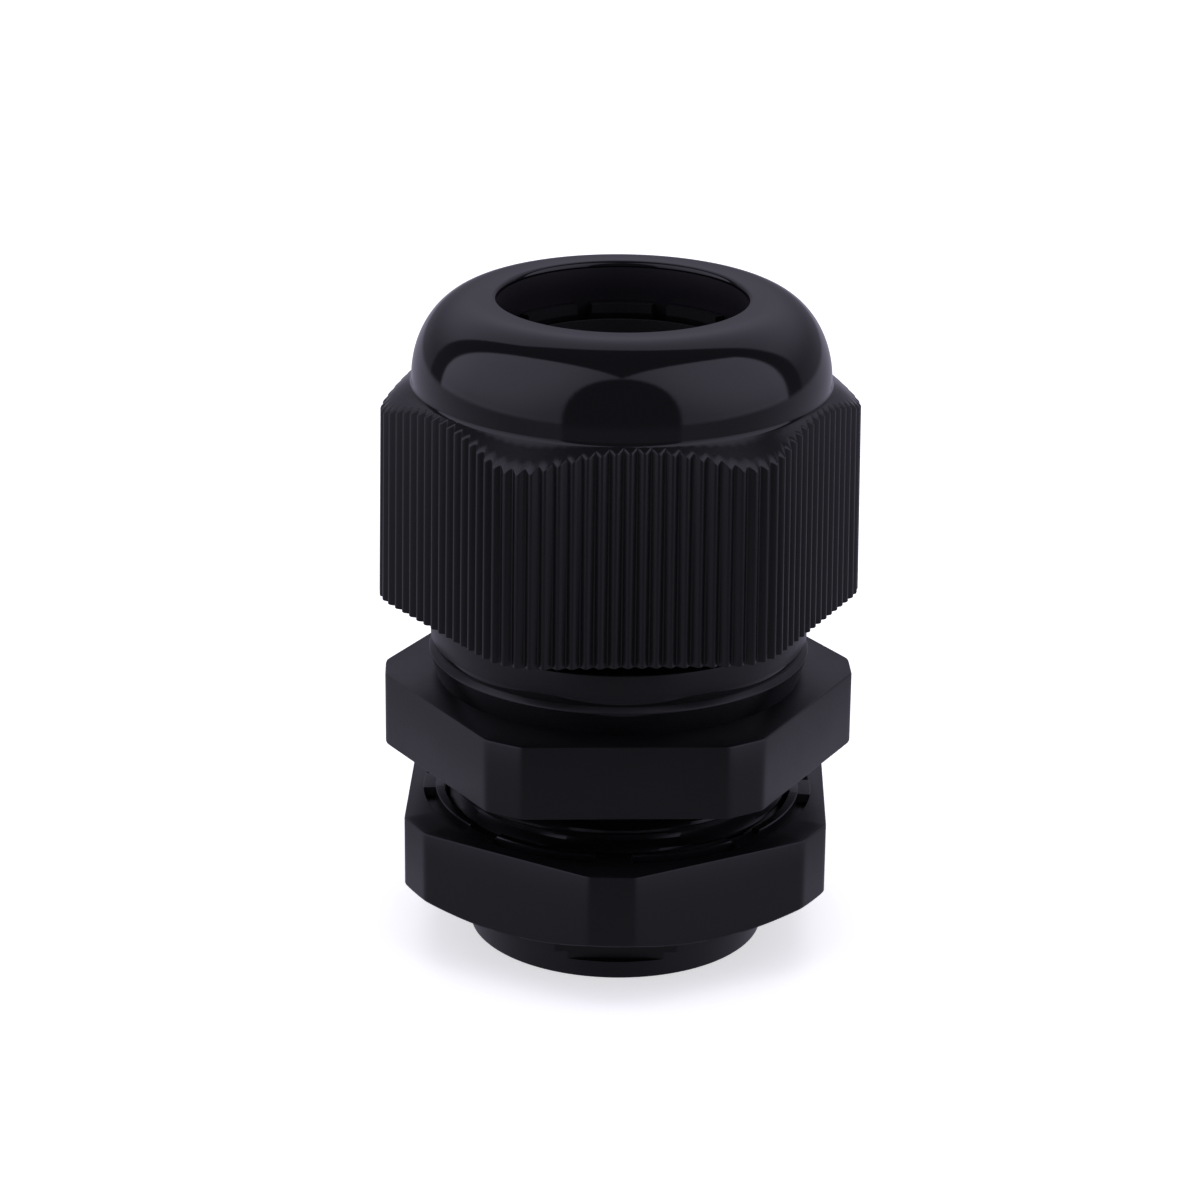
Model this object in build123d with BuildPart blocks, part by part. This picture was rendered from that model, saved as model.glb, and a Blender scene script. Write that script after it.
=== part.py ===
"""Nylon cable gland with a 3/4 NPT end: six separate pieces, in millimetres, +Z up.

The gland stands on the pilot end of its body with its axis on Z. Front is -Y,
and every height is measured from the base plane.
"""

import os
from math import atan, degrees, sqrt

from build123d import *

EDGE = 0.25

# Spanner sizes: nominally 33, and a little off it from one moulding to the next
DOME_NUT_FLATS = 33.3
FLANGE_FLATS = 33.0
LOCKNUT_FLATS = 32.6
HEX_SIDES = 6

# How far each hexagon is turned about the axis, as assembled
DOME_NUT_TURN = 4.0
FLANGE_TURN = 1.9
LOCKNUT_TURN = 28.8

# Thread form: ridges with a narrow crest, and the room left around them
CREST_HALF = 0.15
FLANK_SLOPE = 0.5
CLEARANCE = 0.2
ROOTED = 0.2

# Body: pilot end and taper thread
NPT_PITCH = 25.4 / 14
NPT_CREST = 26.67 / 2
NPT_DEPTH = 1.0
NPT_TAPER = 1 / 32
NPT_START = 2.65
NPT_END = 14.8
PILOT_RADIUS = 11.55
PILOT_TOP = 2.0
BODY_BORE = 9.6
END_FLAT_DISTANCE = 10.96
END_FLAT_BOTTOM = 1.4
END_FLAT_TOP = 7.0
END_FLAT_DEPTH = 3.0

# Body: hexagonal flange and round collar
FLANGE_BOTTOM = 15.5
FLANGE_TOP = 21.4
FLANGE_FACET = 3.1
COLLAR_RADIUS = 14.75
COLLAR_STEP = 23.35
COLLAR_CHAMFER = 0.37
COLLAR_FOOT = 14.2
COLLAR_NECK = 14.6
COLLAR_NECK_BOTTOM = 24.4
COLLAR_TOP = 26.35

# Body: upper thread that carries the dome nut, and the socket inside it
CAP_PITCH = 2.0
CAP_CREST = 13.95
CAP_DEPTH = 0.95
CAP_START = 27.6
CAP_END = 37.2
BODY_TOP = 38.0
SOCKET_RADIUS = 11.6
SOCKET_FLOOR = 24.0

# Locknut
LOCKNUT_BOTTOM = 4.8
LOCKNUT_TOP = 11.4
LOCKNUT_FACET = 3.5
LOCKNUT_CHAMFER_SLOPE = 0.58
LOCKNUT_THREAD_TURN = 90.0
LOCKNUT_THREAD_END = 9.05

# Locknut: raised segments with a groove outside each one, and a land between two of them
SEGMENT_COUNT = 8
SEGMENT_TOP = 11.6
SEGMENT_RADIUS = 14.3
GROOVE_RADIUS = 15.2
GROOVE_FLOOR = 10.8
LAND_WIDTH = 2.8
FIRST_LAND = -1.2

# Sealing ring in a groove inside the locknut's bore
RING_BOTTOM = 9.8
RING_TOP = 10.6
RING_INNER = 13.45
RING_OUTER = 14.05
RING_ROOM = 0.05

# Dome nut: ribbed hexagonal skirt, cut by a cone above
SKIRT_BOTTOM = 27.7
SKIRT_CORNER = 5.0
RIB_COUNT = 108
RIB_CREST_SHARE = 0.2
FLUTE_DEPTH = 0.38
CONE_RIM_HEIGHT = 44.75
CONE_SLOPE = 0.89

# Dome nut: bulging top, a superellipse from its widest point to its crest, and the cable mouth
DOME_RADIUS = 15.98
DOME_WIDEST = 45.1
CREST_RADIUS = 11.1
CREST_HEIGHT = 51.4
DOME_SHAPE = 2.0
DOME_STEPS = (0.97, 0.9, 0.78, 0.6, 0.4, 0.2)
MOUTH_RADIUS = 9.5
MOUTH_ROUNDING = 0.4

# Dome nut: inside
COUNTERBORE_RADIUS = 15.0
COUNTERBORE_TOP = 32.4
CAP_BORE_TOP = 44.0
CAP_NUT_THREAD_END = 42.6
NECK_RADIUS = 12.0
SQUEEZE_BOTTOM = 44.5
SQUEEZE_SLOPE = 0.5

# Clamping insert: a ring whose fingers the cone inside the dome squeezes
INSERT_RADIUS = 11.5
INSERT_INNER = 10.5
INSERT_BOTTOM = 30.2
INSERT_TOP = 48.0
INSERT_LIP = 1.1
FINGER_COUNT = 10
FINGER_ROOT = 36.5
FINGER_SLOT = 1.2
FINGER_GAP = 0.15
FINGER_BEND = 45.0
FINGER_TIP = 9.35

# Rubber seal inside the fingers
SEAL_BORE = 9.15
SEAL_GAP = 0.1
SEAL_TOP = 46.8


def faceted_hexagon(flats, facet, turn):
    """Hexagon with a small flat across each corner."""
    with BuildSketch() as outline:
        RegularPolygon(flats / 2, HEX_SIDES, major_radius=False, rotation=turn)
        chamfer(outline.vertices(), length=facet / sqrt(3))
    return outline.sketch


def thread(pitch, start, end, radius, width, near_half, far_half, taper=0.0):
    """Helical bar from a radius out by its width, with a half height given at each side."""
    with BuildLine() as path:
        Helix(pitch, end - start, radius, center=(0, 0, start), cone_angle=degrees(atan(taper)))
    with BuildSketch(Plane(path.line @ 0, x_dir=(1, 0, 0), z_dir=path.line % 0)) as bar:
        Polygon((0, -near_half), (width, -far_half), (width, far_half), (0, near_half))
    return sweep(bar.sketch, path=path.line, is_frenet=True, mode=Mode.PRIVATE)


def outside_thread(pitch, start, end, crest, depth, taper=0.0):
    """Ridge standing out to the crest radius, rooted a little inside the core."""
    width = depth + ROOTED
    root_half = CREST_HALF + FLANK_SLOPE * width
    return thread(pitch, start, end, crest - width, width, root_half, CREST_HALF, taper)


def inside_thread(pitch, start, end, mating_crest, depth):
    """Ridge reaching in between the turns of an outside thread of that crest radius."""
    tip = mating_crest - depth + CLEARANCE
    width = depth + ROOTED
    return thread(pitch, start, end, tip, width, CREST_HALF, CREST_HALF + FLANK_SLOPE * width)


# Body: pilot, taper thread, flange, collar and upper thread around one passage
npt_core = NPT_CREST - NPT_DEPTH
npt_core_foot = npt_core - NPT_TAPER * (FLANGE_BOTTOM - PILOT_TOP)
npt_start_crest = NPT_CREST - NPT_TAPER * (FLANGE_BOTTOM - NPT_START)
cap_core = CAP_CREST - CAP_DEPTH

with BuildPart() as gland_body:
    with BuildSketch(Plane.XZ):
        Polygon(
            (0, 0),
            (PILOT_RADIUS - EDGE, 0),
            (PILOT_RADIUS, EDGE),
            (PILOT_RADIUS, PILOT_TOP),
            (npt_core_foot, PILOT_TOP),
            (npt_core, FLANGE_BOTTOM),
            (npt_core, FLANGE_TOP),
            (COLLAR_FOOT, FLANGE_TOP),
            (COLLAR_RADIUS, COLLAR_STEP),
            (COLLAR_RADIUS - COLLAR_CHAMFER, COLLAR_STEP + COLLAR_CHAMFER),
            (COLLAR_NECK, COLLAR_NECK_BOTTOM),
            (COLLAR_NECK, COLLAR_TOP),
            (cap_core, COLLAR_TOP),
            (cap_core, BODY_TOP - EDGE),
            (cap_core - EDGE, BODY_TOP),
            (0, BODY_TOP),
        )
    revolve(axis=Axis.Z)
    add(outside_thread(NPT_PITCH, NPT_START, NPT_END, npt_start_crest, NPT_DEPTH, NPT_TAPER))
    add(outside_thread(CAP_PITCH, CAP_START, CAP_END, CAP_CREST, CAP_DEPTH))
    with BuildSketch(Plane.XY.offset(FLANGE_BOTTOM)):
        add(faceted_hexagon(FLANGE_FLATS, FLANGE_FACET, FLANGE_TURN))
    extrude(amount=FLANGE_TOP - FLANGE_BOTTOM)
    # Two flats interrupt the first turns of the taper thread, front and back
    with BuildSketch(Plane.XY.offset(END_FLAT_BOTTOM)):
        with Locations((0, END_FLAT_DISTANCE), (0, -END_FLAT_DISTANCE - END_FLAT_DEPTH)):
            Rectangle(2 * NPT_CREST, END_FLAT_DEPTH, align=(Align.CENTER, Align.MIN))
    extrude(amount=END_FLAT_TOP - END_FLAT_BOTTOM, mode=Mode.SUBTRACT)
    with BuildSketch(Plane.XZ):
        Polygon(
            (0, 0),
            (BODY_BORE, 0),
            (BODY_BORE, SOCKET_FLOOR),
            (SOCKET_RADIUS, SOCKET_FLOOR),
            (SOCKET_RADIUS, BODY_TOP),
            (0, BODY_TOP),
        )
    revolve(axis=Axis.Z, mode=Mode.SUBTRACT)

# Locknut: faceted hexagon, conical chamfer underneath, raised segments and grooves on top
locknut_bore = NPT_CREST + CLEARANCE
locknut_corner = LOCKNUT_FLATS / sqrt(3)
chamfer_rise = LOCKNUT_CHAMFER_SLOPE * (locknut_corner - LOCKNUT_FLATS / 2)
locknut_thread_start = NPT_START + NPT_PITCH * (1.5 + LOCKNUT_THREAD_TURN / 360)

with BuildSketch() as lands:
    with PolarLocations((locknut_bore + GROOVE_RADIUS) / 2, SEGMENT_COUNT, FIRST_LAND):
        Rectangle(2 * (GROOVE_RADIUS - locknut_bore), LAND_WIDTH)

with BuildPart() as locknut:
    with BuildSketch(Plane.XY.offset(LOCKNUT_BOTTOM)):
        add(faceted_hexagon(LOCKNUT_FLATS, LOCKNUT_FACET, LOCKNUT_TURN))
    extrude(amount=LOCKNUT_TOP - LOCKNUT_BOTTOM)
    with BuildSketch(Plane.XZ):
        Polygon(
            (0, LOCKNUT_BOTTOM),
            (LOCKNUT_FLATS / 2, LOCKNUT_BOTTOM),
            (locknut_corner, LOCKNUT_BOTTOM + chamfer_rise),
            (locknut_corner, LOCKNUT_TOP),
            (0, LOCKNUT_TOP),
        )
    revolve(axis=Axis.Z, mode=Mode.INTERSECT)
    with BuildSketch(Plane.XY.offset(LOCKNUT_TOP)):
        Circle(SEGMENT_RADIUS)
        add(lands.sketch, mode=Mode.SUBTRACT)
    extrude(amount=SEGMENT_TOP - LOCKNUT_TOP)
    with BuildSketch(Plane.XY.offset(GROOVE_FLOOR)):
        Circle(GROOVE_RADIUS)
        Circle(SEGMENT_RADIUS, mode=Mode.SUBTRACT)
        add(lands.sketch, mode=Mode.SUBTRACT)
    extrude(amount=LOCKNUT_TOP - GROOVE_FLOOR, mode=Mode.SUBTRACT)
    with BuildSketch(Plane.XZ):
        Polygon(
            (0, LOCKNUT_BOTTOM),
            (locknut_bore + 2 * EDGE, LOCKNUT_BOTTOM),
            (locknut_bore, LOCKNUT_BOTTOM + 2 * EDGE),
            (locknut_bore, RING_BOTTOM - RING_ROOM),
            (RING_OUTER + RING_ROOM, RING_BOTTOM - RING_ROOM),
            (RING_OUTER + RING_ROOM, RING_TOP + RING_ROOM),
            (locknut_bore, RING_TOP + RING_ROOM),
            (locknut_bore, SEGMENT_TOP),
            (0, SEGMENT_TOP),
        )
    revolve(axis=Axis.Z, mode=Mode.SUBTRACT)
    ridge = inside_thread(NPT_PITCH, locknut_thread_start, LOCKNUT_THREAD_END, NPT_CREST, NPT_DEPTH)
    add(ridge.rotate(Axis.Z, LOCKNUT_THREAD_TURN))

# Sealing ring, held in its groove and pressed against the taper thread
with BuildPart() as sealing_ring:
    with BuildSketch(Plane.XY.offset(RING_BOTTOM)):
        Circle(RING_OUTER)
        Circle(RING_INNER, mode=Mode.SUBTRACT)
    extrude(amount=RING_TOP - RING_BOTTOM)

# Dome nut: the ribs run up the hexagonal skirt until the cone cuts them
with BuildSketch() as skirt:
    RegularPolygon(DOME_NUT_FLATS / 2, HEX_SIDES, major_radius=False, rotation=DOME_NUT_TURN)
    fillet(skirt.vertices(), SKIRT_CORNER)
rim = skirt.face().outer_wire()
skirt_corner = DOME_NUT_FLATS / sqrt(3)
cap_bore = CAP_CREST + CLEARANCE
mouth_bottom = SQUEEZE_BOTTOM + (NECK_RADIUS - MOUTH_RADIUS) / SQUEEZE_SLOPE
mouth_edge = MOUTH_RADIUS + MOUTH_ROUNDING


def on_rim(pitches):
    """Point on the skirt's outline, a number of rib pitches along it."""
    return rim @ (pitches / RIB_COUNT % 1)


def dome_point(share):
    """Point of the dome's outline, a share of the way from the crest's radius to the widest."""
    rise = (1 - share**DOME_SHAPE) ** (1 / DOME_SHAPE)
    radius = CREST_RADIUS + share * (DOME_RADIUS - CREST_RADIUS)
    return radius, DOME_WIDEST + rise * (CREST_HEIGHT - DOME_WIDEST)


with BuildPart() as dome_nut:
    with BuildSketch(Plane.XY.offset(SKIRT_BOTTOM)):
        with BuildLine():
            edge = []
            for rib in range(RIB_COUNT):
                middle = on_rim(rib + 0.5)
                edge += [
                    on_rim(rib - RIB_CREST_SHARE / 2),
                    on_rim(rib + RIB_CREST_SHARE / 2),
                    middle - FLUTE_DEPTH * middle.normalized(),
                ]
            Polyline(*edge, close=True)
        make_face()
    extrude(amount=CONE_RIM_HEIGHT - SKIRT_BOTTOM)
    with BuildSketch(Plane.XZ):
        Polygon(
            (0, SKIRT_BOTTOM),
            (skirt_corner, SKIRT_BOTTOM),
            (skirt_corner, CONE_RIM_HEIGHT - CONE_SLOPE * (skirt_corner - DOME_RADIUS)),
            (DOME_RADIUS, CONE_RIM_HEIGHT),
            (0, CONE_RIM_HEIGHT),
        )
    revolve(axis=Axis.Z, mode=Mode.INTERSECT)
    with BuildSketch(Plane.XZ):
        with BuildLine():
            bulge = [dome_point(share) for share in (1, *DOME_STEPS, 0)]
            Spline(*bulge, tangents=((0, 1), (-1, 0)))
            Line(bulge[-1], (mouth_edge, CREST_HEIGHT))
            lip_end = (MOUTH_RADIUS, CREST_HEIGHT - MOUTH_ROUNDING)
            RadiusArc((mouth_edge, CREST_HEIGHT), lip_end, -MOUTH_ROUNDING)
            Polyline(
                lip_end,
                (MOUTH_RADIUS, mouth_bottom),
                (0, mouth_bottom),
                (0, CONE_RIM_HEIGHT),
                (DOME_RADIUS, CONE_RIM_HEIGHT),
                bulge[0],
            )
        make_face()
    revolve(axis=Axis.Z)
    with BuildSketch(Plane.XZ):
        Polygon(
            (0, SKIRT_BOTTOM),
            (COUNTERBORE_RADIUS, SKIRT_BOTTOM),
            (COUNTERBORE_RADIUS, COUNTERBORE_TOP),
            (cap_bore, COUNTERBORE_TOP),
            (cap_bore, CAP_BORE_TOP),
            (NECK_RADIUS, CAP_BORE_TOP),
            (NECK_RADIUS, SQUEEZE_BOTTOM),
            (MOUTH_RADIUS, mouth_bottom),
            (0, mouth_bottom),
        )
    revolve(axis=Axis.Z, mode=Mode.SUBTRACT)
    add(inside_thread(CAP_PITCH, CAP_START + 2.5 * CAP_PITCH, CAP_NUT_THREAD_END, CAP_CREST, CAP_DEPTH))

# Clamping insert: ring with an inner lip below and slotted, inward-bent fingers above
tip_outer = NECK_RADIUS - SQUEEZE_SLOPE * (INSERT_TOP - SQUEEZE_BOTTOM) - FINGER_GAP
bend_outer = SQUEEZE_BOTTOM + (NECK_RADIUS - FINGER_GAP - INSERT_RADIUS) / SQUEEZE_SLOPE
tip_foot = FINGER_BEND + (INSERT_INNER - FINGER_TIP) / SQUEEZE_SLOPE

with BuildPart() as clamping_insert:
    with BuildSketch(Plane.XZ):
        Polygon(
            (BODY_BORE, INSERT_BOTTOM),
            (INSERT_RADIUS, INSERT_BOTTOM),
            (INSERT_RADIUS, bend_outer),
            (tip_outer, INSERT_TOP),
            (FINGER_TIP, INSERT_TOP),
            (FINGER_TIP, tip_foot),
            (INSERT_INNER, FINGER_BEND),
            (INSERT_INNER, INSERT_BOTTOM + INSERT_LIP),
            (BODY_BORE, INSERT_BOTTOM + INSERT_LIP),
        )
    revolve(axis=Axis.Z)
    with BuildSketch(Plane.XY.offset(FINGER_ROOT)):
        with PolarLocations((FINGER_TIP + INSERT_RADIUS) / 2, FINGER_COUNT):
            Rectangle(2 * (INSERT_RADIUS - FINGER_TIP), FINGER_SLOT)
    extrude(amount=INSERT_TOP - FINGER_ROOT, mode=Mode.SUBTRACT)

# Rubber seal held between the insert's lip and its finger tips
seal_radius = INSERT_INNER - SEAL_GAP
seal_bend = FINGER_BEND - SEAL_GAP
with BuildPart() as seal:
    with BuildSketch(Plane.XZ):
        Polygon(
            (SEAL_BORE, INSERT_BOTTOM + INSERT_LIP + SEAL_GAP),
            (seal_radius, INSERT_BOTTOM + INSERT_LIP + SEAL_GAP),
            (seal_radius, seal_bend),
            (seal_radius - SQUEEZE_SLOPE * (SEAL_TOP - seal_bend), SEAL_TOP),
            (SEAL_BORE, SEAL_TOP),
        )
    revolve(axis=Axis.Z)

os.makedirs("parts", exist_ok=True)
pieces = {
    "gland_body": gland_body,
    "locknut": locknut,
    "sealing_ring": sealing_ring,
    "dome_nut": dome_nut,
    "clamping_insert": clamping_insert,
    "seal": seal,
}
for name, piece in pieces.items():
    piece.part.label = name
    export_step(piece.part, f"parts/{name}.step")
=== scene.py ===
"""Black nylon cable gland standing on a white floor.

The dome nut, the body and the locknut get finer meshes here. Each is a lathe whose rings may change
radius and height with the angle, which is what flutes, hexagons and threads need. The insert, the
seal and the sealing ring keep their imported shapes. Sizes are in millimetres until a mesh is written
in metres.
"""

from math import cos, pi, radians, sin, sqrt, tan, tau

import bpy
import numpy as np
from mathutils import Euler, Matrix, Vector


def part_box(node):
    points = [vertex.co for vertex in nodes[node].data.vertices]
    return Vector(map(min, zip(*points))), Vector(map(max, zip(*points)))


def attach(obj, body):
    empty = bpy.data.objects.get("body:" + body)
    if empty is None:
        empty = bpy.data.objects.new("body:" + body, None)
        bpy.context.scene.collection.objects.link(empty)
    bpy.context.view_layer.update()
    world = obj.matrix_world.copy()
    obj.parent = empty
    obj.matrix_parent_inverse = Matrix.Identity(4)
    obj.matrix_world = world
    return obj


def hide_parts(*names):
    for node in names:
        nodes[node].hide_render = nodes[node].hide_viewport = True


MM = 0.001

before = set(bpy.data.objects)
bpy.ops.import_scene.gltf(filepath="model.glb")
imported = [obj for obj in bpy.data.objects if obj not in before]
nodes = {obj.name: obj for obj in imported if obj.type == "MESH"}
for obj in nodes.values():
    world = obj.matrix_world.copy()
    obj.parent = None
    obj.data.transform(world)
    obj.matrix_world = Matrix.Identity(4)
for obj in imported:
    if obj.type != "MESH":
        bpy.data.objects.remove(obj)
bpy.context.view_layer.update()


# ---------------------------------------------------------------- sizes


def heights(node):
    """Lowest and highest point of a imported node, in millimetres."""
    low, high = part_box(node)
    return low.z / MM, high.z / MM


SKIRT_BOTTOM, _ = heights("dome_nut")
BASE, BODY_TOP = heights("gland_body")
LOCKNUT_BOTTOM, SEGMENT_TOP = heights("locknut")

# Turns are in degrees. A half is half the distance across flats, and an ease is the size of a
# rounded edge.

# Dome nut: the skirt widens downwards by its draft in each millimetre
DOME_NUT_TURN = 4.0
DOME_NUT_HALF = 16.65
SKIRT_EASE = 0.1
SKIRT_CORNER = 5.0
SKIRT_DRAFT = 0.0007
SKIRT_MIDDLE = 36.0
FLUTE_COUNT = 108
FLUTE_DEPTH = 0.38
# Half a flute, from crest to valley: (distance from its middle in pitches, share of the depth)
FLUTE_EDGES = ((0.42, 0.0), (0.385, 0.05), (0.2, 0.55), (0.05, 0.95))
CONE_RIM = (15.98, 44.75)
CONE_SLOPE = 0.89
CONE_STEPS = (0.35, 0.7)
CONE_TO_DOME = 0.2
DOME_WIDEST = (15.98, 45.1)
CREST = (11.1, 51.4)
DOME_SHAPE = 2.0  # power of the curve between them: 2 is a quarter ellipse, more is squarer
DOME_RINGS = 30
MOUTH_RADIUS = 9.5
MOUTH_ROUNDING = 0.4
MOUTH_RINGS = 7
POLISH_BOTTOM = 50.92
COUNTERBORE_RADIUS = 15.0
COUNTERBORE_TOP = 32.4
CAP_BORE = 14.15
CAP_BORE_TOP = 44.0
NECK_RADIUS = 12.0
SQUEEZE_BOTTOM = 44.5
SQUEEZE_TOP = 49.5

# Body: the end flats cut the first turns of the thread, front and back
FLANGE_TURN = 1.9
FLANGE_HALF = 16.5
FLANGE_FACET = 3.1
FLANGE_BOTTOM = 15.5
FLANGE_TOP = 21.4
FLANGE_EASE = 0.2
NPT_CREST = 13.335
NPT_PITCH = 25.4 / 14
NPT_START = 2.65
NPT_DEPTH = 1.0
NPT_TAPER = 1 / 32
PILOT_RADIUS = 11.55
PILOT_TOP = 2.0
BODY_BORE = 9.6
END_FLAT = 10.96
END_FLAT_BOTTOM = 1.4
END_FLAT_TOP = 7.0
COLLAR_RADIUS = 14.75
COLLAR_STEP = 23.35
COLLAR_CHAMFER = 0.37
COLLAR_CORNER_EASE = 0.08
COLLAR_RIM_EASE = 0.2
COLLAR_FOOT = 14.2
COLLAR_NECK = 14.6
COLLAR_NECK_BOTTOM = 24.4
COLLAR_TOP = 26.35
CAP_CORE = 13.0
CAP_PITCH = 2.0
CAP_DEPTH = 0.95
CAP_LEAD_IN = 1.0
SOCKET_RADIUS = 11.6
SOCKET_FLOOR = 24.0
SOCKET_EASE = 0.2

# Locknut: lands part the segments, and the groove outside them
LOCKNUT_TURN = 28.8
LOCKNUT_HALF = 16.3
LOCKNUT_FACET = 3.5
LOCKNUT_TOP = 11.4
LOCKNUT_EASE = 0.15
LOCKNUT_CHAMFER_SLOPE = 0.58
LOCKNUT_FACE = LOCKNUT_HALF - 0.3
LOCKNUT_BORE = NPT_CREST + 0.2
LOCKNUT_LEAD_IN = 0.5
SEGMENT_COUNT = 8
SEGMENT_RADIUS = 14.3
GROOVE_RADIUS = 15.2
GROOVE_FLOOR = 10.8
GROOVE_EASE = 0.06
GROOVE_SLANT = 0.02
SEGMENT_EASE = 0.08
SEGMENT_LEAD_IN = (0.1, 0.3)
LAND_WIDTH = 2.8
LAND_SLOPE = 0.01
FIRST_LAND = -1.2
RING_GROOVE_BOTTOM, RING_GROOVE_TOP, RING_GROOVE_RADIUS = 9.75, 10.65, 14.1

# Points round each lathe, and the share of an easing at which its middle ring lies
BODY_POINTS = 640
LOCKNUT_POINTS = 1440
EASE_MIDDLE = 0.3


class Thread:
    """Right-hand helical ridge between two heights."""

    CREST_HALF = 0.15
    FLANK_SLOPE = 0.5
    ROWS_PER_PITCH = 9
    START_SLACK = 1e-6

    def __init__(self, pitch, start, end, depth):
        self.pitch, self.start, self.end, self.depth = pitch, start, end, depth

    def rise(self, angles, height):
        """How far the ridge stands out of the core at each angle, at one height."""
        turns = (height - self.start) / self.pitch - (angles % tau) / tau
        off = np.abs(turns - np.round(turns)) * self.pitch
        rise = np.clip(self.depth - (off - self.CREST_HALF) / self.FLANK_SLOPE, 0, self.depth)
        middle = height - (turns - np.round(turns)) * self.pitch
        inside = (middle > self.start - self.START_SLACK) & (middle < self.end)
        return rise * inside

    def rows(self, low, high):
        """Heights close enough together to show the ridge."""
        count = int((high - low) / self.pitch * self.ROWS_PER_PITCH)
        return np.linspace(low, high, count)


BODY_NPT = Thread(NPT_PITCH, NPT_START, 14.8, NPT_DEPTH)
NUT_NPT = Thread(NPT_PITCH, NPT_START + 1.75 * NPT_PITCH, 9.05, NPT_DEPTH)
BODY_CAP = Thread(CAP_PITCH, 27.6, 37.2, CAP_DEPTH)
NUT_CAP = Thread(CAP_PITCH, 32.6, 42.6, CAP_DEPTH)


# ---------------------------------------------------------------- mesh


def lathe(name, angles, rings, materials, sharp=32):
    """Closed mesh from rings of (radius, height, material), each a number or one per angle."""
    count = len(angles)
    radii = np.array([np.broadcast_to(ring[0], count) for ring in rings])
    levels = np.array([np.broadcast_to(ring[1], count) for ring in rings])
    points = np.stack([radii * np.cos(angles), radii * np.sin(angles), levels], 2)
    corner = np.arange(count)
    after = (corner + 1) % count
    faces = []
    for row in range(len(rings)):
        low, high = row * count, (row + 1) % len(rings) * count
        faces.append(np.stack([low + corner, low + after, high + after, high + corner], 1))
    mesh = bpy.data.meshes.new(name)
    mesh.from_pydata(points.reshape(-1, 3) * MM, [], np.concatenate(faces).tolist())
    slots = np.repeat([ring[2] for ring in rings], count).astype(np.int32)
    for material in materials:
        mesh.materials.append(material)
    mesh.polygons.foreach_set("material_index", slots)
    mesh.shade_smooth()
    mesh.set_sharp_from_angle(angle=radians(sharp))
    obj = bpy.data.objects.new(name, mesh)
    bpy.context.scene.collection.objects.link(obj)
    return obj


def eased(corner, before, after, radius, steps=3):
    """Small curve that rounds the corner between two neighbours, all (radius, height)."""
    corner, before, after = (np.array(point, float) for point in (corner, before, after))
    first = corner + radius * (before - corner) / np.hypot(*(before - corner))
    last = corner + radius * (after - corner) / np.hypot(*(after - corner))
    share = np.linspace(0, 1, steps + 1)[:, None]
    return (1 - share) ** 2 * first + 2 * share * (1 - share) * corner + share**2 * last


def eased_profile(points):
    """Profile of (radius, height, easing) points with every corner that has an easing rounded."""
    rounded = []
    for index, (radius, height, easing) in enumerate(points):
        if easing and 0 < index < len(points) - 1:
            before, after = points[index - 1][:2], points[index + 1][:2]
            rounded += [tuple(p) for p in eased((radius, height), before, after, easing)]
        else:
            rounded.append((radius, height))
    return rounded


def hexagon(angles, half_flats, facet, turn):
    """Radius at each angle of a hexagon with a small flat on each corner and slightly eased edges.

    A high power of the twelve sides' distances, added up, rounds the edges between them.
    """
    sharpness = 260
    corner_flat = half_flats * 2 / sqrt(3) - facet / sqrt(3) / 2
    total = 0
    for side in range(6):
        for middle, distance in ((30, half_flats), (0, corner_flat)):
            facing = np.cos(angles - radians(60 * side + middle + turn))
            total = total + (np.maximum(facing, 0) * half_flats / distance) ** sharpness
    return half_flats / total ** (1 / sharpness)


def fluted_hexagon():
    """Angle and radius of each point round the dome nut's skirt, a flute at every mid-flat."""
    flat = 2 * (DOME_NUT_HALF - SKIRT_CORNER) * tan(pi / 6)
    side = flat + SKIRT_CORNER * pi / 3
    steps, depth = np.array([(-step, deep) for step, deep in FLUTE_EDGES] + [*FLUTE_EDGES[::-1]]).T
    flute = (np.arange(FLUTE_COUNT)[:, None] + steps).ravel() / FLUTE_COUNT * 6
    number, place = np.floor(flute), (flute % 1) * side
    bend = np.clip((place - flat / 2) / SKIRT_CORNER, 0, pi / 3)
    past = np.maximum(place - flat / 2 - SKIRT_CORNER * pi / 3, 0)
    out = DOME_NUT_HALF - SKIRT_CORNER + SKIRT_CORNER * np.cos(bend) - past * sin(pi / 3)
    across = np.minimum(place, flat / 2) + SKIRT_CORNER * np.sin(bend) + past * cos(pi / 3)
    angles = np.arctan2(across, out) + number * pi / 3 + radians(DOME_NUT_TURN - 90)
    return angles, np.hypot(out, across) - np.tile(FLUTE_DEPTH * depth, FLUTE_COUNT)


# ---------------------------------------------------------------- materials


BLACK = (0.0032, 0.0029, 0.0034, 1)
GRAIN_HEIGHT = 0.02
PATCHES_PER_METRE = 180


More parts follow.
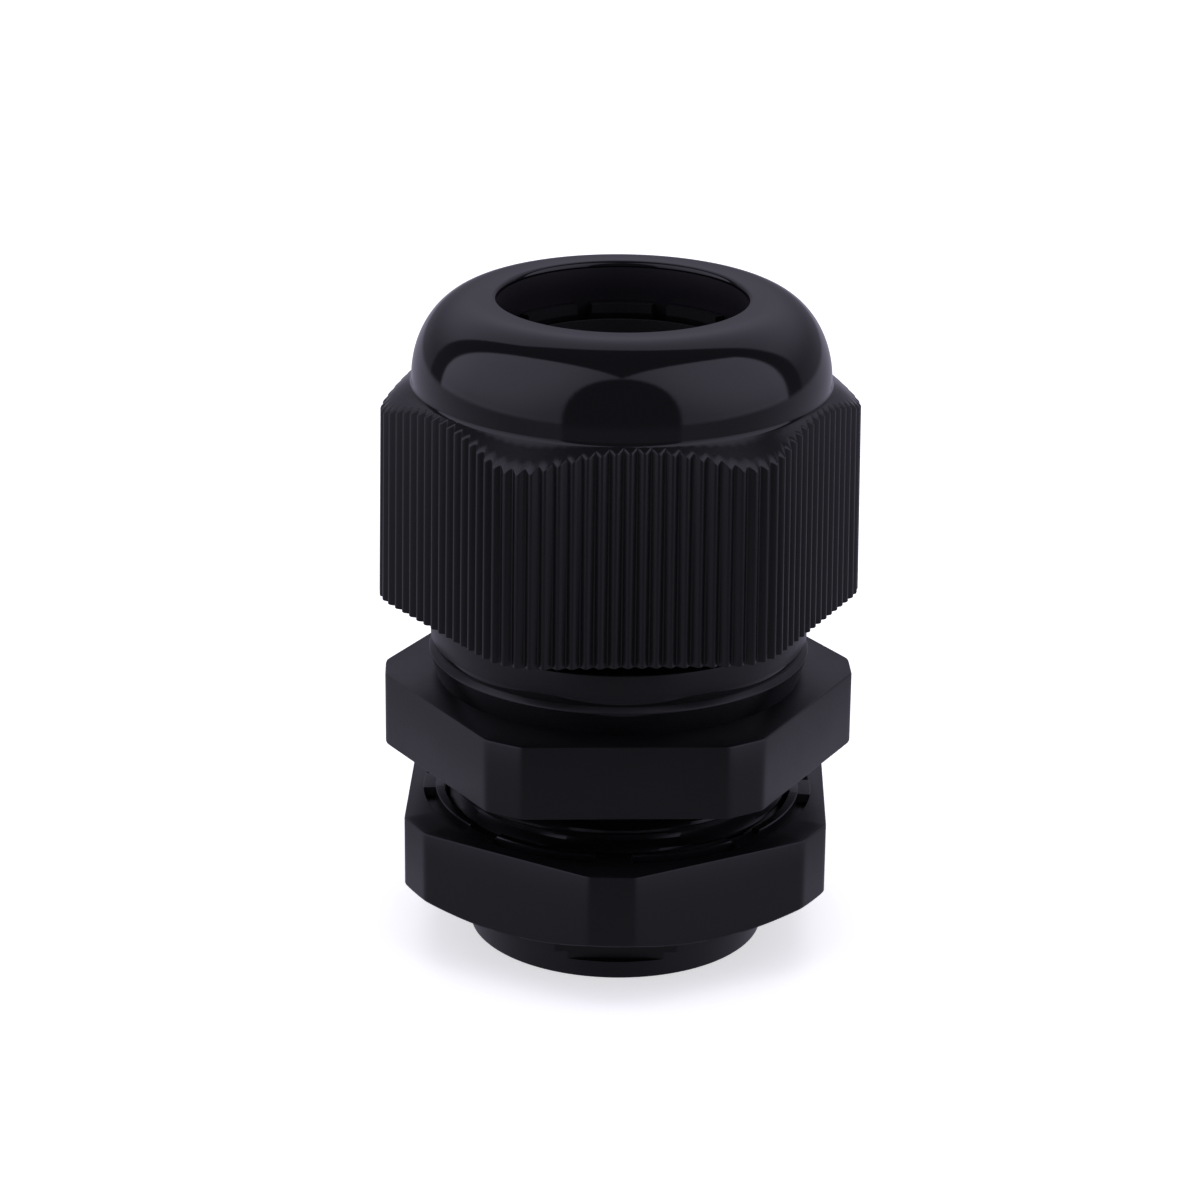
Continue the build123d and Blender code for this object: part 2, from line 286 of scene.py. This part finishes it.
def nylon(name, roughness, grain, grain_size=0.35, color=BLACK):
    """Black moulded nylon with a faint grain and slightly uneven gloss."""
    material = bpy.data.materials.new(name)
    material.use_nodes = True
    tree = material.node_tree
    shader = tree.nodes["Principled BSDF"]
    shader.inputs["Base Color"].default_value = color
    shader.inputs["IOR"].default_value = 1.5
    place = tree.nodes.new("ShaderNodeTexCoord")
    patches = tree.nodes.new("ShaderNodeTexNoise")
    patches.inputs["Scale"].default_value = PATCHES_PER_METRE
    patches.inputs["Detail"].default_value = 3
    gloss = tree.nodes.new("ShaderNodeMapRange")
    gloss.inputs["To Min"].default_value = roughness * 0.8
    gloss.inputs["To Max"].default_value = roughness * 1.2
    fine = tree.nodes.new("ShaderNodeTexNoise")
    fine.inputs["Scale"].default_value = 1 / (grain_size * MM)
    fine.inputs["Detail"].default_value = 4
    bump = tree.nodes.new("ShaderNodeBump")
    bump.inputs["Strength"].default_value = grain
    bump.inputs["Distance"].default_value = GRAIN_HEIGHT * MM
    link = tree.links.new
    link(place.outputs["Object"], patches.inputs["Vector"])
    link(place.outputs["Object"], fine.inputs["Vector"])
    link(patches.outputs["Fac"], gloss.inputs["Value"])
    link(gloss.outputs["Result"], shader.inputs["Roughness"])
    link(fine.outputs["Fac"], bump.inputs["Height"])
    link(bump.outputs["Normal"], shader.inputs["Normal"])
    return material


def rubber(name):
    """Matt black rubber with a fine grain."""
    material = nylon(name, 0.6, 0.5, grain_size=0.2, color=(0.015, 0.014, 0.015, 1))
    material.node_tree.nodes["Principled BSDF"].inputs["Specular IOR Level"].default_value = 0.35
    return material


POLISHED = nylon("nylon_polished", 0.07, 0.03)
GLOSSY = nylon("nylon_glossy", 0.2, 0.1)
SATIN = nylon("nylon_satin", 0.36, 0.3)
# Painted light: the inside faces of the mouth, the nut's thread and the socket get a nylon lighter than
# the outside black, standing in for the light seen in the dim interior
DULL_PAINTED_BRIGHTER = nylon("nylon_dull_painted_brighter", 0.5, 0.4, color=(0.018, 0.016, 0.019, 1))
INNER = nylon("nylon_insert", 0.6, 0.4, color=(0.005, 0.0045, 0.005, 1))
RUBBER = rubber("rubber_black")

# The lathes' material slots: the dome nut and the body have all four, the locknut the first two
FINISHES = [GLOSSY, SATIN, DULL_PAINTED_BRIGHTER, POLISHED]
ON_GLOSSY, ON_SATIN, ON_DULL_PAINTED_BRIGHTER, ON_POLISHED = range(4)


# ---------------------------------------------------------------- pieces


def dome_nut():
    """Fluted skirt, conical chamfer, dome and mouth outside; squeeze cone and thread inside."""
    angles, outline = fluted_hexagon()

    def skirt(height):
        return outline * (1 + SKIRT_DRAFT * (SKIRT_MIDDLE - height))

    def cone(radius):
        return CONE_RIM[1] - CONE_SLOPE * (radius - CONE_RIM[0])

    foot, top = skirt(SKIRT_BOTTOM), skirt(CONE_RIM[1])
    ease, middle = SKIRT_EASE, EASE_MIDDLE * SKIRT_EASE
    rings = [
        (COUNTERBORE_RADIUS, SKIRT_BOTTOM, ON_SATIN),
        (foot - ease, SKIRT_BOTTOM, ON_SATIN),
        (foot - middle, SKIRT_BOTTOM + middle, ON_SATIN),
        (foot, SKIRT_BOTTOM + ease, ON_SATIN),
        (top, cone(top) - ease, ON_SATIN),
        (top - middle, cone(top), ON_GLOSSY),
        (top - ease, cone(top - ease), ON_GLOSSY),
    ]
    for share in CONE_STEPS:
        radius = top + (CONE_RIM[0] - top) * share
        rings.append((radius, cone(radius), ON_GLOSSY))
    bulge, highest = DOME_WIDEST[0] - CREST[0], CREST[1] - DOME_WIDEST[1]
    outer = CONE_RIM[0] + CONE_TO_DOME
    bend = eased(CONE_RIM, (outer, cone(outer)), DOME_WIDEST, CONE_TO_DOME)
    rings += [(radius, height, ON_POLISHED) for radius, height in bend]
    for turn in np.linspace(pi / 2, 0, DOME_RINGS):
        across, up = sin(turn) ** (2 / DOME_SHAPE), cos(turn) ** (2 / DOME_SHAPE)
        rings.append((CREST[0] + bulge * across, DOME_WIDEST[1] + highest * up, ON_POLISHED))
    for turn in np.linspace(0, pi / 2, MOUTH_RINGS):
        radius = MOUTH_RADIUS + MOUTH_ROUNDING * (1 - sin(turn))
        rings.append((radius, CREST[1] - MOUTH_ROUNDING * (1 - cos(turn)), ON_POLISHED))
    # Mouth, squeeze cone and thread inside: the lighter nylon, painted light for the dim interior
    rings += [
        (MOUTH_RADIUS, POLISH_BOTTOM, ON_DULL_PAINTED_BRIGHTER),
        (MOUTH_RADIUS, SQUEEZE_TOP, ON_DULL_PAINTED_BRIGHTER),
        (NECK_RADIUS, SQUEEZE_BOTTOM, ON_DULL_PAINTED_BRIGHTER),
        (NECK_RADIUS, CAP_BORE_TOP, ON_DULL_PAINTED_BRIGHTER),
    ]
    for height in NUT_CAP.rows(COUNTERBORE_TOP, CAP_BORE_TOP)[::-1]:
        rings.append((CAP_BORE - NUT_CAP.rise(angles, height), height, ON_DULL_PAINTED_BRIGHTER))
    rings.append((COUNTERBORE_RADIUS, COUNTERBORE_TOP, ON_DULL_PAINTED_BRIGHTER))
    return lathe("dome_nut_shape", angles, rings, FINISHES)


def gland_body():
    """Pilot end, taper thread, flange, collar and upper thread outside; bore and socket inside."""
    angles = np.arange(BODY_POINTS) / BODY_POINTS * tau
    flange = hexagon(angles, FLANGE_HALF, FLANGE_FACET, FLANGE_TURN)
    flats = END_FLAT / np.maximum(np.abs(np.sin(angles)), 1e-3)
    ease, middle = FLANGE_EASE, EASE_MIDDLE * FLANGE_EASE
    easing = ((ease, 0), (middle, middle), (0, ease))

    def core(height):
        return NPT_CREST - NPT_DEPTH - NPT_TAPER * (FLANGE_BOTTOM - height)

    lower = [(BODY_BORE, BASE, 0), (PILOT_RADIUS, BASE, ease), (PILOT_RADIUS, END_FLAT_BOTTOM, 0)]
    rings = [(radius, height, ON_SATIN) for radius, height in eased_profile(lower)]
    rings.append((np.minimum(PILOT_RADIUS, flats), END_FLAT_BOTTOM, ON_SATIN))
    rings.append((np.minimum(PILOT_RADIUS, flats), PILOT_TOP, ON_SATIN))
    for height in BODY_NPT.rows(PILOT_TOP, FLANGE_BOTTOM):
        radius = core(height) + BODY_NPT.rise(angles, height)
        if height < END_FLAT_TOP:
            radius = np.minimum(radius, flats)
        rings.append((radius, height, ON_SATIN))
    for inset, rise in easing:
        rings.append((flange - inset, FLANGE_BOTTOM + rise, ON_SATIN))
    for inset, drop in easing[::-1]:
        rings.append((flange - inset, FLANGE_TOP - drop, ON_SATIN))
    chamfer_end = (COLLAR_RADIUS - COLLAR_CHAMFER, COLLAR_STEP + COLLAR_CHAMFER)
    foot, step = (COLLAR_FOOT, FLANGE_TOP), (COLLAR_RADIUS, COLLAR_STEP)
    neck, upper_edge = (COLLAR_NECK, COLLAR_NECK_BOTTOM), (COLLAR_NECK, COLLAR_TOP)
    corner = eased(step, foot, chamfer_end, COLLAR_CORNER_EASE)
    rim = eased(upper_edge, neck, (CAP_CORE, COLLAR_TOP), COLLAR_RIM_EASE)
    rings.append((*foot, ON_POLISHED))
    rings += [(radius, height, ON_SATIN) for radius, height in corner]
    rings += [(*chamfer_end, ON_POLISHED), (*neck, ON_SATIN)]
    rings += [(radius, height, ON_SATIN) for radius, height in rim]
    rings.append((CAP_CORE, COLLAR_TOP, ON_SATIN))
    for height in BODY_CAP.rows(COLLAR_TOP, BODY_TOP)[1:-1]:
        rings.append((CAP_CORE + BODY_CAP.rise(angles, height), height, ON_SATIN))
    inside = [
        (CAP_CORE, BODY_TOP - CAP_LEAD_IN, 0),
        (CAP_CORE, BODY_TOP, SOCKET_EASE),
        (SOCKET_RADIUS, BODY_TOP, SOCKET_EASE),
        (SOCKET_RADIUS, SOCKET_FLOOR, 0),
        (BODY_BORE, SOCKET_FLOOR, 0),
    ]
    # Socket inside: the lighter nylon, painted light for the dim interior
    rings += [(radius, height, ON_DULL_PAINTED_BRIGHTER) for radius, height in eased_profile(inside)[1:]]
    return lathe("gland_body_shape", angles, rings, FINISHES)


def locknut():
    """Chamfered hexagon with raised segments and grooves on top, a thread and a ring groove inside."""
    angles = np.arange(LOCKNUT_POINTS) / LOCKNUT_POINTS * tau
    outline = hexagon(angles, LOCKNUT_HALF, LOCKNUT_FACET, LOCKNUT_TURN)
    ease, middle = LOCKNUT_EASE, EASE_MIDDLE * LOCKNUT_EASE
    step = tau / SEGMENT_COUNT
    from_land = np.abs((angles - radians(FIRST_LAND) + step / 2) % step - step / 2)
    off_land = np.clip((from_land - LAND_WIDTH / 2 / SEGMENT_RADIUS) / LAND_SLOPE, 0, 1)
    segment = LOCKNUT_TOP + (SEGMENT_TOP - LOCKNUT_TOP) * off_land
    groove = LOCKNUT_TOP + (GROOVE_FLOOR - LOCKNUT_TOP) * off_land

    def cone(radius):
        return LOCKNUT_BOTTOM + LOCKNUT_CHAMFER_SLOPE * np.maximum(radius - LOCKNUT_HALF, 0)

    rings = [
        (LOCKNUT_BORE + LOCKNUT_LEAD_IN, LOCKNUT_BOTTOM, ON_SATIN),
        (LOCKNUT_FACE, LOCKNUT_BOTTOM, ON_SATIN),
        (outline - ease, cone(outline - ease), ON_SATIN),
        (outline - middle, cone(outline) + middle, ON_SATIN),
        (outline, cone(outline) + ease, ON_SATIN),
        (outline, LOCKNUT_TOP - ease, ON_SATIN),
        (outline - middle, LOCKNUT_TOP - middle, ON_SATIN),
        (outline - ease, LOCKNUT_TOP, ON_SATIN),
        (GROOVE_RADIUS + 2 * GROOVE_EASE, LOCKNUT_TOP, ON_SATIN),
        (GROOVE_RADIUS + GROOVE_EASE, LOCKNUT_TOP, ON_GLOSSY),
        (GROOVE_RADIUS, LOCKNUT_TOP - GROOVE_EASE * off_land, ON_SATIN),
        (GROOVE_RADIUS - GROOVE_SLANT, groove, ON_SATIN),
        (SEGMENT_RADIUS + GROOVE_SLANT, groove, ON_SATIN),
        (SEGMENT_RADIUS, segment - SEGMENT_EASE * off_land, ON_GLOSSY),
        (SEGMENT_RADIUS - SEGMENT_EASE, segment, ON_GLOSSY),
        (LOCKNUT_BORE + SEGMENT_LEAD_IN[0], segment, ON_GLOSSY),
        (LOCKNUT_BORE, SEGMENT_TOP - SEGMENT_LEAD_IN[1], ON_SATIN),
        (LOCKNUT_BORE, RING_GROOVE_TOP, ON_SATIN),
        (RING_GROOVE_RADIUS, RING_GROOVE_TOP, ON_SATIN),
        (RING_GROOVE_RADIUS, RING_GROOVE_BOTTOM, ON_SATIN),
    ]
    for height in NUT_NPT.rows(LOCKNUT_BOTTOM + LOCKNUT_LEAD_IN, RING_GROOVE_BOTTOM)[::-1]:
        rings.append((LOCKNUT_BORE - NUT_NPT.rise(angles, height), height, ON_SATIN))
    return lathe("locknut_shape", angles, rings, FINISHES[:2])


for build, node, body, slot in (
    (dome_nut, "dome_nut", "cap", "cap_nylon"),
    (gland_body, "gland_body", "body", "body_nylon"),
    (locknut, "locknut", "nut", "locknut_nylon"),
):
    piece = build()
    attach(piece, body)
    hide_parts(node)

for node, material in (("clamping_insert", INNER), ("seal", RUBBER), ("sealing_ring", RUBBER)):
    nodes[node].data.materials.clear()
    nodes[node].data.materials.append(material)


# ---------------------------------------------------------------- floor, light and camera


# Brightness of the surroundings, as the polished faces show it
PANEL, PANEL_MIDDLE = 0.45, 0.85
BEHIND, BEHIND_LOW = 0.48, 0.17
AHEAD, AHEAD_BELOW = 0.075, 0.13
FLOOR_AHEAD, FLOOR_BEHIND, FLOOR_UNDER = 0.22, 0.36, 0.15
DARK = 0.07
BACKDROP = 1.1
ROOM_TINT = (1.0, 0.95, 1.22, 1)

# Their shapes, in unit directions seen from the gland: x to the right, y to the back, z up. Each
# pair is where a fade starts and ends.
PANEL_DIRECTION = (0.75, 0.13, 0.65)
PANEL_SPREAD = (0.55, 1.0)
BEHIND_SPREAD = (0.1, 0.6)
AHEAD_WIDTH, AHEAD_HEIGHT = 0.62, 1.35
AHEAD_EDGE = (-0.05, 0.05)
AHEAD_SPREAD = (sin(radians(-12)), 0.0)
BAND_HEADING, BAND_TURN = radians(66), radians(7)
BAND_STEEPEST = 0.5
BAND_EDGE = (0.09, 0.14)
BAND_BACK = (0.3, 0.36)
ROOF_NARROWING = 1.1
ROOF_EDGE = (-0.62, -0.56)
HORIZON = (sin(radians(-6)), sin(radians(-2)))
FLOOR_SPREAD = (-0.6, 0.5)
UNDER_EDGE = (sin(radians(-60)), sin(radians(-25)))


def floor():
    """White floor. It glows a little, so that only the contact with the gland stays shaded."""
    bpy.ops.mesh.primitive_plane_add(size=4)
    plane = bpy.context.object
    plane.name = "floor"
    plane.visible_glossy = False
    material = bpy.data.materials.new("floor_white")
    material.use_nodes = True
    shader = material.node_tree.nodes["Principled BSDF"]
    shader.inputs["Base Color"].default_value = (0.93, 0.93, 0.93, 1)
    shader.inputs["Roughness"].default_value = 0.9
    shader.inputs["Specular IOR Level"].default_value = 0.0
    shader.inputs["Emission Color"].default_value = (1, 1, 1, 1)
    shader.inputs["Emission Strength"].default_value = 0.6
    plane.data.materials.append(material)


def surroundings():
    """Studio round the gland: dark ahead, a bright panel at each side and grey behind.

    A dark band runs up behind one panel, widens overhead and runs down behind the other.
    """
    world = bpy.data.worlds.new("studio")
    bpy.context.scene.world = world
    world.use_nodes = True
    tree = world.node_tree
    tree.nodes.clear()

    def put(value, socket):
        """Set a socket to a plain value, or link another node's output to it."""
        if isinstance(value, bpy.types.NodeSocket):
            tree.links.new(value, socket)
        else:
            socket.default_value = value

    def compute(kind, operation, values):
        made = tree.nodes.new(kind)
        made.operation = operation
        for value, socket in zip(values, made.inputs):
            put(value, socket)
        return made.outputs

    def number(operation, *values):
        return compute("ShaderNodeMath", operation, values)["Value"]

    def vector(operation, *values):
        return compute("ShaderNodeVectorMath", operation, values)["Vector"]

    def measure(operation, *values):
        """Number that a vector operation gives: a length or a dot product."""
        return compute("ShaderNodeVectorMath", operation, values)["Value"]

    def fade(value, start_end, first=0.0, last=1.0):
        """Smooth change from one number to another as a value goes from a start to an end."""
        made = tree.nodes.new("ShaderNodeMapRange")
        made.interpolation_type = "SMOOTHSTEP"
        names = ("Value", "From Min", "From Max", "To Min", "To Max")
        for name, end in zip(names, (value, *start_end, first, last)):
            put(end, made.inputs[name])
        return made.outputs["Result"]

    def mix(share, first, last):
        made = tree.nodes.new("ShaderNodeMix")
        for name, value in (("Factor", share), ("A", first), ("B", last)):
            put(value, made.inputs[name])
        return made.outputs["Result"]

    toward = tree.nodes.new("ShaderNodeTexCoord").outputs["Generated"]
    split = tree.nodes.new("ShaderNodeSeparateXYZ")
    put(toward, split.inputs["Vector"])
    x, y, z = split.outputs

    upward = vector("MAXIMUM", toward, (-1, -1, 0))
    spread = measure("LENGTH", vector("MULTIPLY", upward, (1 / AHEAD_WIDTH, 0, 1 / AHEAD_HEIGHT)))
    in_front = fade(number("ADD", spread, y), AHEAD_EDGE, 1.0, 0.0)
    ahead = fade(z, AHEAD_SPREAD, AHEAD_BELOW, AHEAD)

    across = measure("DOT_PRODUCT", toward, (cos(BAND_TURN), -sin(BAND_TURN), 0))
    along = measure("DOT_PRODUCT", toward, (sin(BAND_TURN), cos(BAND_TURN), 0))
    backward = number("MULTIPLY", along, -sin(BAND_HEADING))
    past_band = number("MULTIPLY_ADD", number("ABSOLUTE", across), cos(BAND_HEADING), backward)
    level = measure("LENGTH", vector("MULTIPLY", toward, (1, 1, 0)))
    past_band = number("DIVIDE", past_band, number("MAXIMUM", level, BAND_STEEPEST))

    before_band = tuple(-edge for edge in BAND_EDGE[::-1])
    middle = measure("DOT_PRODUCT", vector("ABSOLUTE", toward), PANEL_DIRECTION)
    roof = number("MULTIPLY_ADD", number("ABSOLUTE", x), -ROOF_NARROWING, y)
    panel = mix(fade(roof, ROOF_EDGE), fade(middle, PANEL_SPREAD, PANEL, PANEL_MIDDLE), DARK)
    behind = mix(fade(y, BAND_BACK), DARK, fade(z, BEHIND_SPREAD, BEHIND_LOW, BEHIND))
    behind = mix(fade(past_band, before_band), behind, DARK)
    upper = mix(fade(past_band, BAND_EDGE), behind, panel)
    lower = mix(fade(z, UNDER_EDGE), FLOOR_UNDER, fade(y, FLOOR_SPREAD, FLOOR_AHEAD, FLOOR_BEHIND))
    around = mix(fade(z, HORIZON), lower, upper)

    background = tree.nodes.new("ShaderNodeBackground")
    to_camera = tree.nodes.new("ShaderNodeLightPath").outputs["Is Camera Ray"]
    put(ROOM_TINT, background.inputs["Color"])
    put(mix(to_camera, mix(in_front, around, ahead), BACKDROP), background.inputs["Strength"])
    output = tree.nodes.new("ShaderNodeOutputWorld")
    put(background.outputs["Background"], output.inputs["Surface"])


def overhead_light():
    """Large soft light high above, so that the floor is white with a soft shadow."""
    lamp = bpy.data.lights.new("overhead", "AREA")
    lamp.energy = 3.2
    lamp.size = 0.9
    light = bpy.data.objects.new("overhead", lamp)
    light.location = (0, 0.05, 0.9)
    light.visible_glossy = False
    bpy.context.scene.collection.objects.link(light)


def camera():
    """Long lens at the front, looking down a little, and turned half a degree on its own axis."""
    distance, elevation, roll = 300.7, radians(20.53), radians(0.57)
    offset, height = -1.48, 26.86
    data = bpy.data.cameras.new("camera")
    data.lens = 116.3
    data.sensor_width = 36
    data.clip_start = 0.01
    eye = bpy.data.objects.new("camera", data)
    eye.location = Vector((offset, -distance * cos(elevation), height + distance * sin(elevation))) * MM
    tilt = Euler((pi / 2 - elevation, 0, 0)).to_matrix()
    eye.rotation_euler = (tilt @ Matrix.Rotation(roll, 3, "Z")).to_euler()
    bpy.context.scene.collection.objects.link(eye)
    bpy.context.scene.camera = eye


floor()
surroundings()
overhead_light()
camera()
bpy.context.scene.view_settings.view_transform = "Standard"
